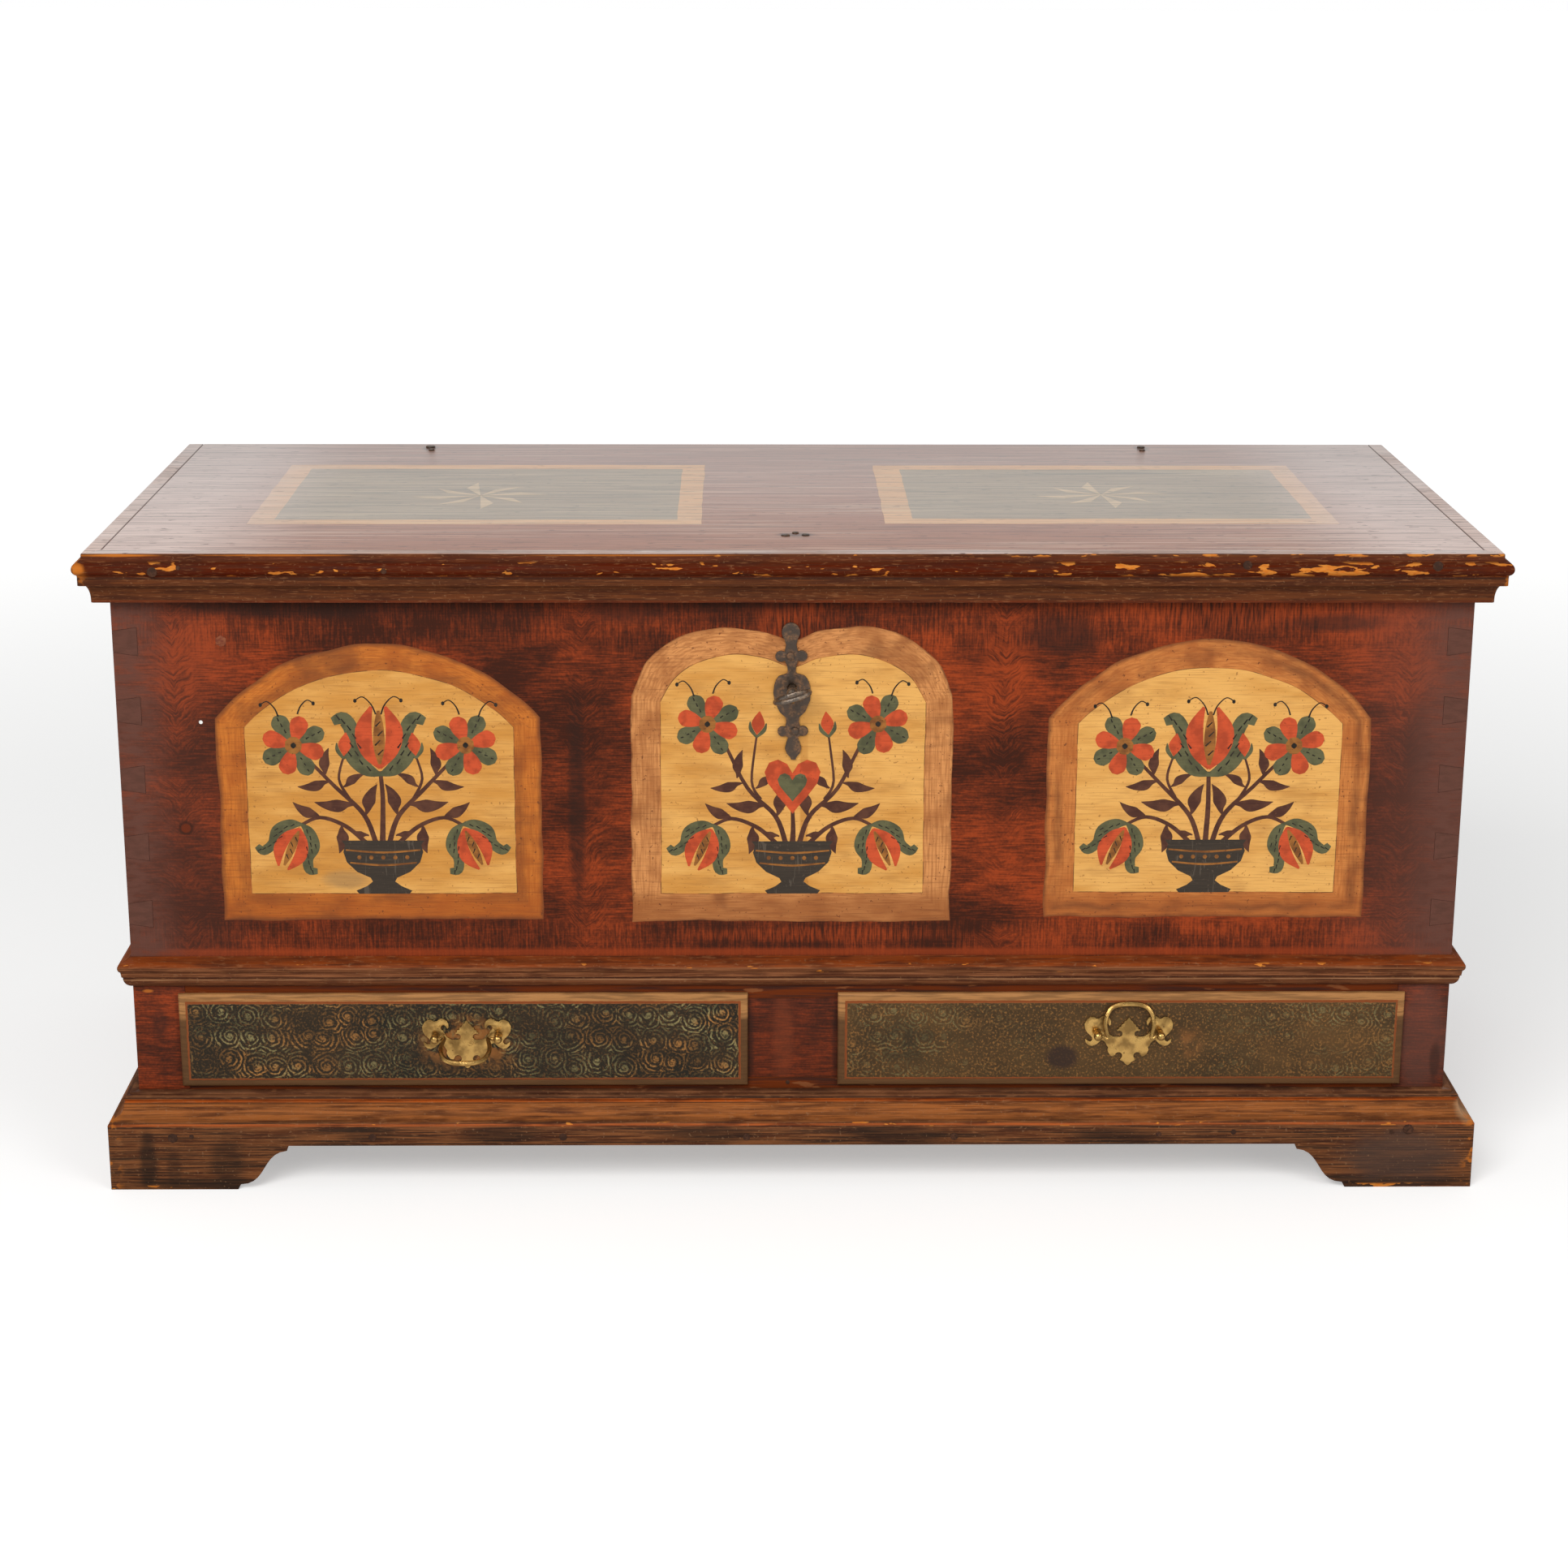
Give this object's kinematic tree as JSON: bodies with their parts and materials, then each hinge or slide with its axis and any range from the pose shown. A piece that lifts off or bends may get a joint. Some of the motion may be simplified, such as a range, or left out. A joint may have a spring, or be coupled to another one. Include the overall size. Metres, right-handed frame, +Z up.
{
  "type": "marriage chest",
  "caption": "Dovetailed painted chest with a hinged moulded lid, lock and till, over two lipped drawers with bail pulls, on a moulded bracket base.",
  "frame": {"origin": "on the floor, under the middle of the closed chest's box", "axes": "+X to the right as seen from the front, the front faces -Y, +Z up"},
  "size_m": [1.3896, 0.6474, 0.6588],
  "materials": {
    "case_paint": "worn red-brown paint, combed, satin",
    "side_paint": "worn red-brown paint, satin",
    "lid_paint": "rubbed mauve-brown paint, soft gloss",
    "moulding_paint": "worn brown paint, bare arrises, satin",
    "drawer_paint": "stamped black-green paint with worn tan lips",
    "bare_wood": "bare aged softwood, matte",
    "brass": "old brass, rubbed",
    "iron": "dark forged iron, worn"
  },
  "bodies": {
    "case": {"front_board": "case_paint", "left_stile": "case_paint", "centre_stile": "case_paint", "right_stile": "case_paint", "left_side_board": "side_paint", "right_side_board": "side_paint", "back_board": "side_paint", "mid_moulding_front": "moulding_paint", "mid_moulding_left": "moulding_paint", "mid_moulding_right": "moulding_paint", "base_front": "moulding_paint", "base_left": "moulding_paint", "base_right": "moulding_paint", "chest_floor": "bare_wood", "bay_floor": "bare_wood", "left_drawer_guide": "bare_wood", "centre_drawer_guide": "bare_wood", "right_drawer_guide": "bare_wood", "rear_foot_left": "bare_wood", "rear_foot_right": "bare_wood", "front_left_glue_block": "bare_wood", "front_right_glue_block": "bare_wood", "back_left_glue_block": "bare_wood", "back_right_glue_block": "bare_wood", "till_front": "bare_wood", "till_bottom": "bare_wood", "left_back_leaf": "iron", "right_back_leaf": "iron", "left_hinge_pin": "iron", "right_hinge_pin": "iron", "lock_case": "iron", "escutcheon": "iron"},
    "lid": {"lid_board": "lid_paint", "lid_moulding_front": "moulding_paint", "lid_moulding_left": "moulding_paint", "lid_moulding_right": "moulding_paint", "left_lid_strap": "iron", "right_lid_strap": "iron", "lid_hasp": "iron"},
    "till_lid": {"till_lid": "bare_wood"},
    "left_drawer": {"left_drawer_front": "drawer_paint", "left_drawer_side_left": "bare_wood", "left_drawer_side_right": "bare_wood", "left_drawer_back": "bare_wood", "left_drawer_bottom": "bare_wood", "left_pull_plate": "brass", "left_pull_post_left": "brass", "left_pull_post_right": "brass"},
    "right_drawer": {"right_drawer_front": "drawer_paint", "right_drawer_side_left": "bare_wood", "right_drawer_side_right": "bare_wood", "right_drawer_back": "bare_wood", "right_drawer_bottom": "bare_wood", "right_pull_plate": "brass", "right_pull_post_left": "brass", "right_pull_post_right": "brass"},
    "left_bail": {"left_bail": "brass"},
    "right_bail": {"right_bail": "brass"},
    "key": {"key": "iron"},
    "lock_bolt": {"lock_bolt": "iron"}
  },
  "joints": [
    {"name": "lid_hinge", "type": "hinge", "parent": "case", "child": "lid", "pos_m": [0, 0.31775, 0.6348], "axis": [-1, 0, 0], "range_deg": [0, 105]},
    {"name": "till_hinge", "type": "hinge", "parent": "case", "child": "till_lid", "pos_m": [-0.633, 0, 0.495], "axis": [0, -1, 0], "range_deg": [0, 90]},
    {"name": "left_drawer_slide", "type": "slide", "parent": "case", "child": "left_drawer", "axis": [0, -1, 0], "range_m": [0, 0.4]},
    {"name": "right_drawer_slide", "type": "slide", "parent": "case", "child": "right_drawer", "axis": [0, -1, 0], "range_m": [0, 0.4]},
    {"name": "left_bail_swing", "type": "hinge", "parent": "left_drawer", "child": "left_bail", "pos_m": [-0.3295, -0.28965, 0.159], "axis": [-1, 0, 0], "range_deg": [-64, 129]},
    {"name": "right_bail_swing", "type": "hinge", "parent": "right_drawer", "child": "right_bail", "pos_m": [0.34, -0.28965, 0.161], "axis": [-1, 0, 0], "range_deg": [-193, 0]},
    {"name": "key_turn", "type": "hinge", "parent": "case", "child": "key", "pos_m": [-0.002, -0.27075, 0.5205], "axis": [0, -1, 0], "range_deg": [0, 73]},
    {"name": "bolt_throw", "type": "slide", "parent": "case", "child": "lock_bolt", "axis": [-1, 0, 0], "range_m": [0, 0.0131]}
  ],
  "couplings": [
    {"joint": "bolt_throw", "follows": "key_turn", "m_per_rad": 0.0102}
  ]
}
